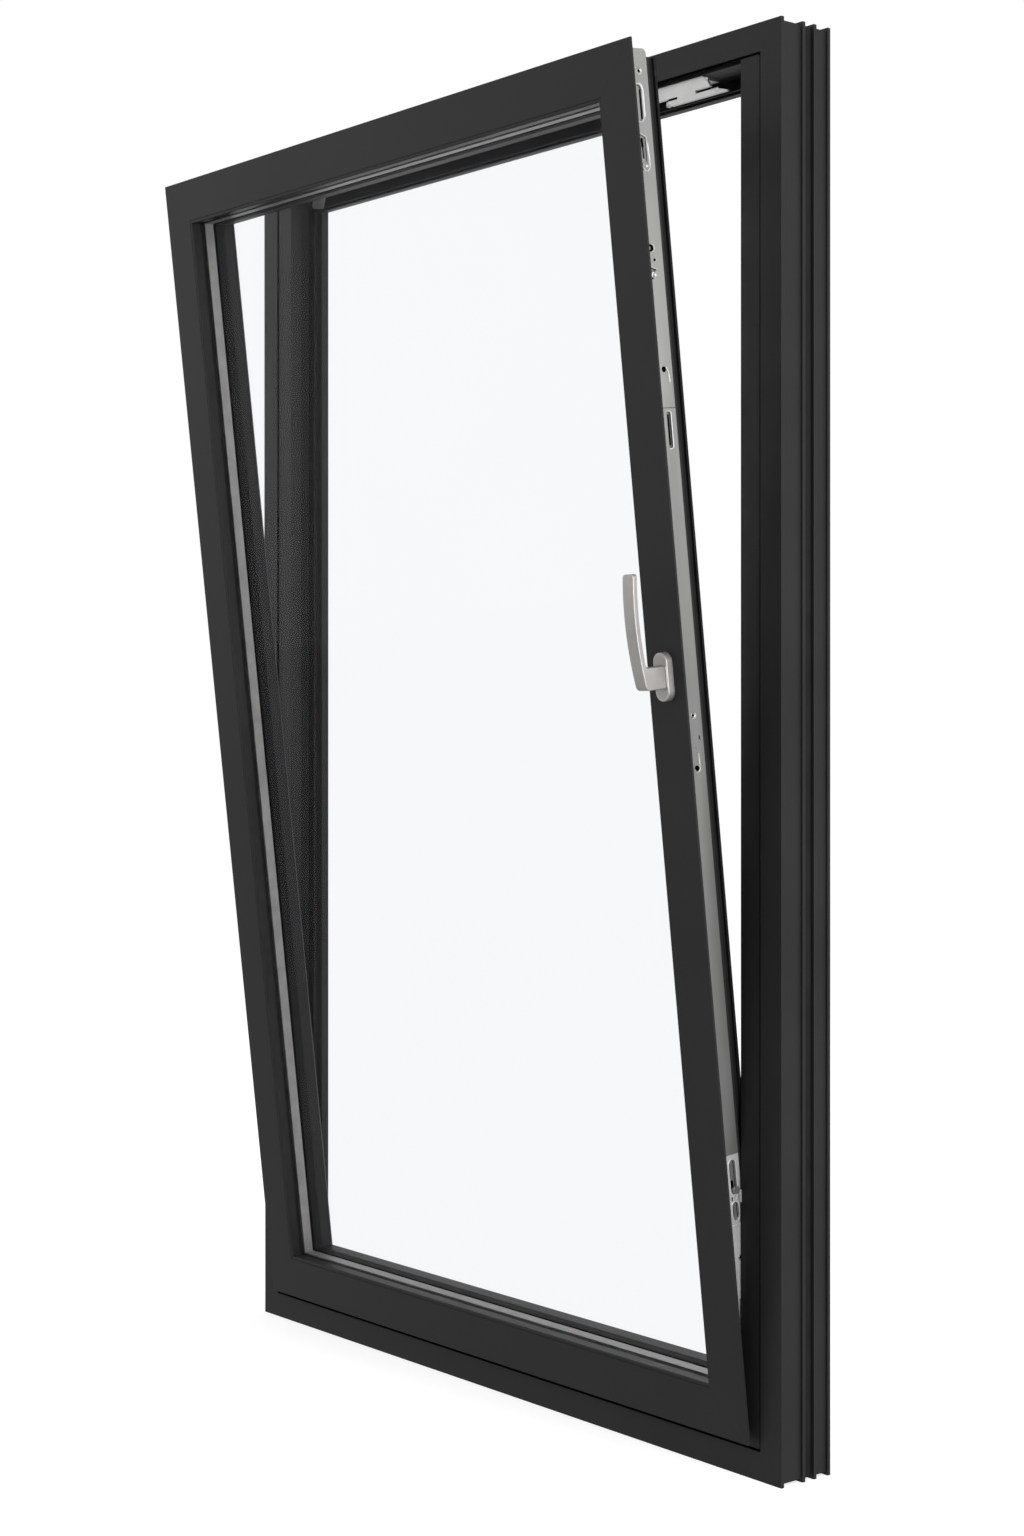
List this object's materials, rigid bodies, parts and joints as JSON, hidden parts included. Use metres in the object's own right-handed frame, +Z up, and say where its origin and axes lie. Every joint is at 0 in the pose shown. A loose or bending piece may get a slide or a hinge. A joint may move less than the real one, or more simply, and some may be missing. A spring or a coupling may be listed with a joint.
{
  "type": "tilt and turn window",
  "caption": "Tall tilt and turn window with a dark mitred aluminium frame and a double-glazed sash tilted into the room, with a lever handle and edge hardware.",
  "frame": {"origin": "middle of the flat band under the sill, between its front and middle lips", "axes": "+X to the right as seen from the room, +Y from the room to the outdoors, +Z up along the jambs"},
  "size_m": [0.95, 0.2468, 1.5],
  "materials": {
    "frame_coating": "fine matt powder coat, dark grey",
    "polyamide": "matt",
    "rubber_seal": "matt",
    "glass": "clear float glass",
    "spacer_metal": "satin",
    "hardware_metal": "satin silver coat",
    "handle_metal": "satin anodised"
  },
  "bodies": {
    "root": {"centre_gasket": "rubber_seal", "corner_bearing": "hardware_metal", "corner_bracket": "hardware_metal", "drive_rod": "hardware_metal", "frame_head": "frame_coating", "frame_hinge_jamb": "frame_coating", "frame_lock_jamb": "frame_coating", "frame_sill": "frame_coating", "glazing_bead_bottom": "frame_coating", "glazing_bead_hinge": "frame_coating", "glazing_bead_lock": "frame_coating", "glazing_bead_top": "frame_coating", "handle_lever": "handle_metal", "handle_rosette": "handle_metal", "inner_glazing_gasket": "rubber_seal", "inner_pane": "glass", "jamb_keeps": "hardware_metal", "lower_faceplate": "hardware_metal", "outer_glazing_gasket": "rubber_seal", "outer_pane": "glass", "overlap_gasket": "rubber_seal", "sash_bottom_rail": "frame_coating", "sash_break_bottom_rail": "polyamide", "sash_break_hinge_stile": "polyamide", "sash_break_lock_stile": "polyamide", "sash_break_top_rail": "polyamide", "sash_hinge_stile": "frame_coating", "sash_lock_stile": "frame_coating", "sash_top_rail": "frame_coating", "spacer_bar": "spacer_metal", "stay_arm": "hardware_metal", "stay_bearing": "hardware_metal", "stay_keep_plate": "hardware_metal", "stay_pivot": "hardware_metal", "stay_shoe": "hardware_metal", "thermal_break_head": "polyamide", "thermal_break_hinge_jamb": "polyamide", "thermal_break_lock_jamb": "polyamide", "thermal_break_sill": "polyamide", "tilt_bearing": "hardware_metal", "tilt_bracket": "hardware_metal", "tilt_lock_plate": "hardware_metal", "upper_faceplate": "hardware_metal"}
  },
  "joints": []
}
